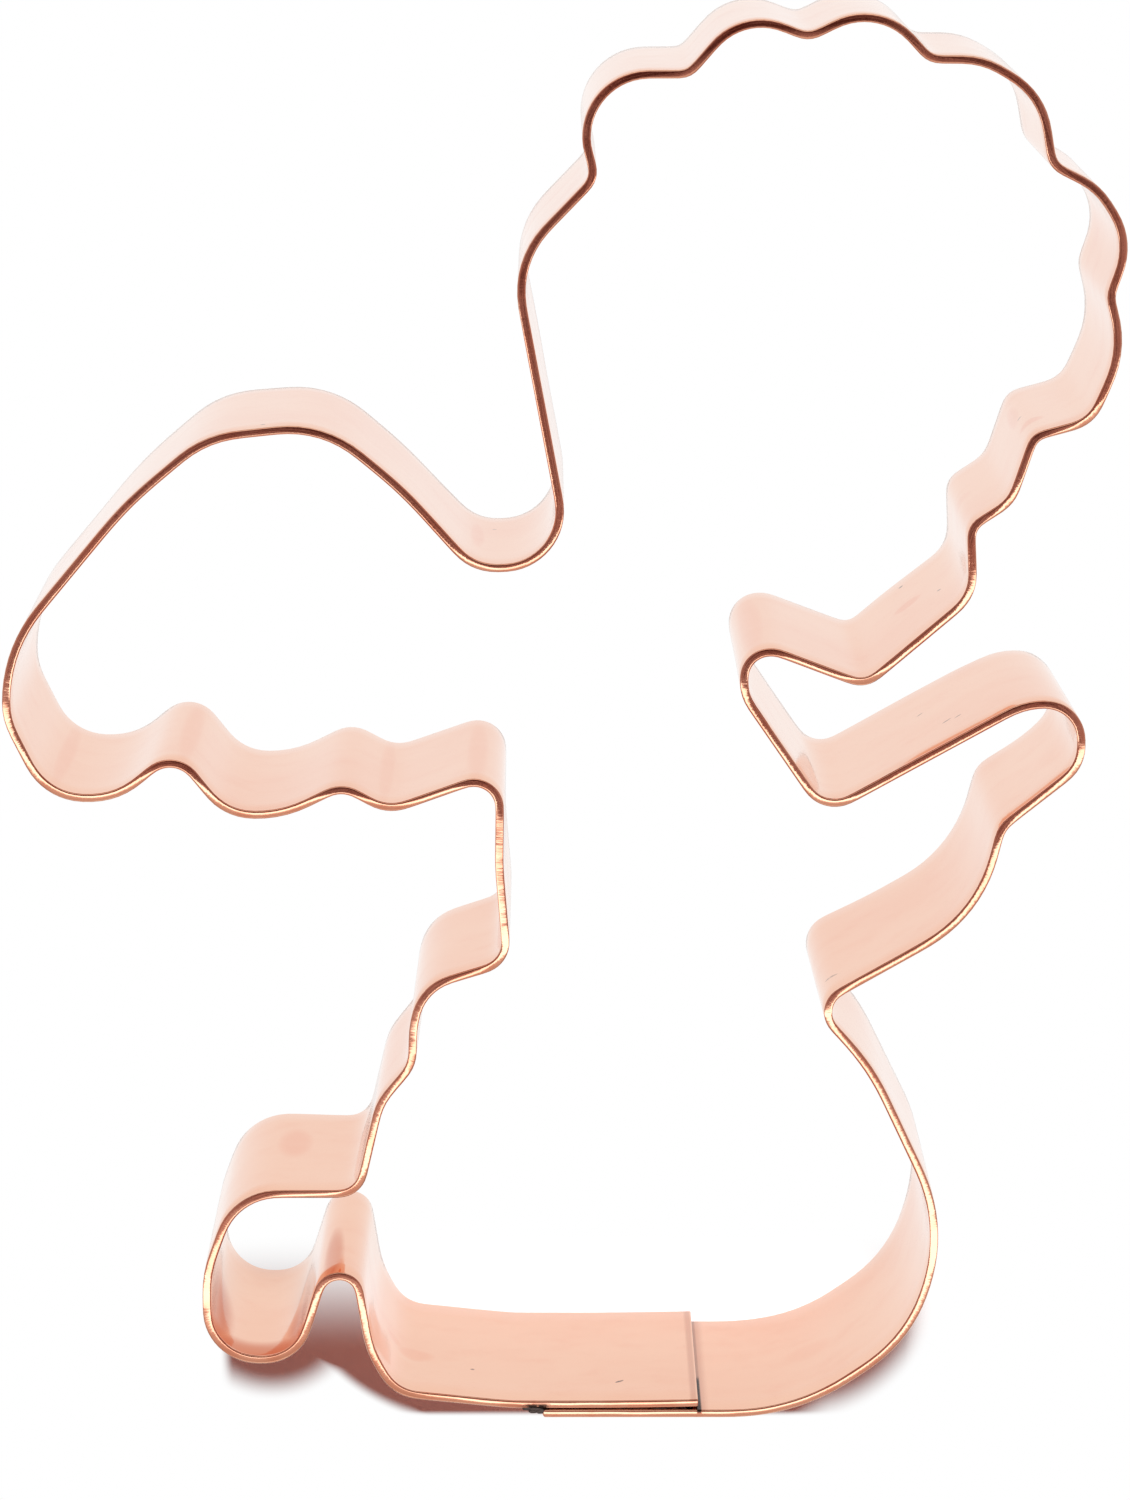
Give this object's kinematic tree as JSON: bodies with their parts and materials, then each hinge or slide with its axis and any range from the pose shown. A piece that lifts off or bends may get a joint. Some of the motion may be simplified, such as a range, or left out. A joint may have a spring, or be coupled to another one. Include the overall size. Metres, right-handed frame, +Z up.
{
  "type": "cookie cutter",
  "caption": "Open cookie cutter: a copper strip bent edge-on into the outline of a kneeling, praying cherub with a wing, its ends soldered in a lap.",
  "frame": {"origin": "centre of the bottom rim's bounding box, on the surface that the cutter lies on", "axes": "+X the way the figure faces, +Y from the figure's knees to its crown, +Z up through the strip's depth"},
  "size_m": [0.0896, 0.1156, 0.0222],
  "materials": {
    "copper": "bare copper, satin rolled faces and brighter rounded rims",
    "solder": "dull tin solder darkened by flux"
  },
  "bodies": {
    "root": {"copper_strip": "copper", "lap_solder": "solder"}
  },
  "joints": []
}
